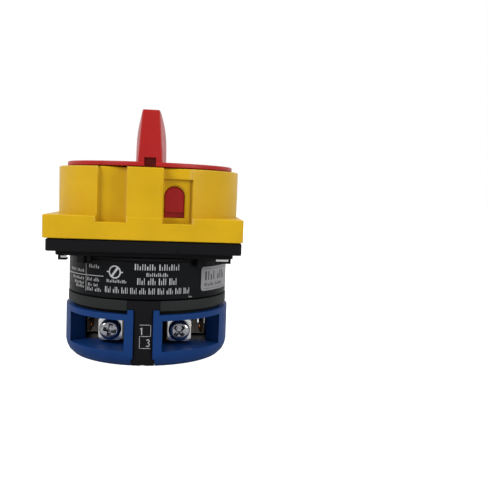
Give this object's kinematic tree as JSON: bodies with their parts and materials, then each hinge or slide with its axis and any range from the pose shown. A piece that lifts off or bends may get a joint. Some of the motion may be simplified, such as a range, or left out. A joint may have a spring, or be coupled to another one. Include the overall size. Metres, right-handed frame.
{
  "type": "rotary isolator switch",
  "caption": "Padlockable rotary isolator switch: long knob on a disc, square front housing and base, round labelled body, shrouded screw terminals.",
  "frame": {"origin": "middle of the back end, on the shaft axis", "axes": "+Z along the shaft towards the knob, -Y towards the front with terminals 1 and 3, +X to the right of the front view"},
  "size_m": [0.064, 0.064, 0.0843],
  "materials": {
    "red_plastic": "satin moulded",
    "yellow_plastic": "satin moulded",
    "black_plastic": "fine grain",
    "dark_plastic": "fine grain",
    "blue_plastic": "satin moulded",
    "white_nylon": "satin moulded",
    "zinc_steel": "bright zinc plated",
    "contact_brass": "stamped",
    "label_film": "printed film",
    "sticker_film": "silver film",
    "seal_rubber": "matte"
  },
  "bodies": {
    "housing": {"lock_housing": "yellow_plastic", "mount_base": "black_plastic", "flange_seal": "seal_rubber", "base_screw_1": "zinc_steel", "base_screw_2": "zinc_steel", "base_screw_3": "zinc_steel", "base_screw_4": "zinc_steel", "shaft_bush": "white_nylon", "detent_housing": "black_plastic", "name_label": "label_film", "rating_sticker": "sticker_film", "detent_spring_left": "zinc_steel", "detent_spring_right": "zinc_steel", "cover_plate": "dark_plastic", "contact_block": "black_plastic", "end_cover": "black_plastic", "terminal_shroud_left": "blue_plastic", "terminal_shroud_right": "blue_plastic", "fixed_contact_1": "contact_brass", "fixed_contact_2": "contact_brass", "fixed_contact_3": "contact_brass", "fixed_contact_4": "contact_brass", "clamp_washer_1": "zinc_steel", "clamp_washer_2": "zinc_steel", "clamp_washer_3": "zinc_steel", "clamp_washer_4": "zinc_steel", "terminal_screw_1": "zinc_steel", "terminal_screw_2": "zinc_steel", "terminal_screw_3": "zinc_steel", "terminal_screw_4": "zinc_steel", "contact_spring_left": "zinc_steel", "contact_spring_right": "zinc_steel", "stack_bolt_front": "zinc_steel", "stack_bolt_rear": "zinc_steel", "bolt_nut_front": "zinc_steel", "bolt_nut_rear": "zinc_steel"},
    "rotor": {"red_handle": "red_plastic", "handle_screw": "zinc_steel", "handle_washer": "zinc_steel", "handle_plug": "red_plastic", "shaft": "zinc_steel", "star_wheel": "white_nylon", "stop_disc": "zinc_steel", "cam": "white_nylon"},
    "padlock_tongue": {"lock_tongue": "red_plastic"},
    "detent_left": {"detent_slider_left": "white_nylon"},
    "detent_right": {"detent_slider_right": "white_nylon"},
    "carrier_left": {"plunger_left": "white_nylon", "bridge_left": "contact_brass"},
    "carrier_right": {"plunger_right": "white_nylon", "bridge_right": "contact_brass"}
  },
  "joints": [
    {"name": "handle_turn", "type": "hinge", "parent": "housing", "child": "rotor", "pos_m": [0, 0, 0.0675], "axis": [0, 0, -1], "range_deg": [0, 90]},
    {"name": "carrier_left_slide", "type": "slide", "parent": "housing", "child": "carrier_left", "axis": [1, 0, 0], "range_m": [0, 0.002]},
    {"name": "carrier_right_slide", "type": "slide", "parent": "housing", "child": "carrier_right", "axis": [-1, 0, 0], "range_m": [0, 0.002]},
    {"name": "tongue_slide", "type": "slide", "parent": "housing", "child": "padlock_tongue", "axis": [0, -1, 0], "range_m": [0, 0.0128]},
    {"name": "detent_left_slide", "type": "slide", "parent": "housing", "child": "detent_left", "axis": [-1, 0, 0], "range_m": [0, 0.001], "stiffness_N_per_m": 800},
    {"name": "detent_right_slide", "type": "slide", "parent": "housing", "child": "detent_right", "axis": [1, 0, 0], "range_m": [0, 0.001], "stiffness_N_per_m": 800}
  ],
  "couplings": [
    {"joint": "carrier_left_slide", "follows": "handle_turn", "m_per_rad": 0.00127},
    {"joint": "carrier_right_slide", "follows": "handle_turn", "m_per_rad": 0.00127}
  ]
}
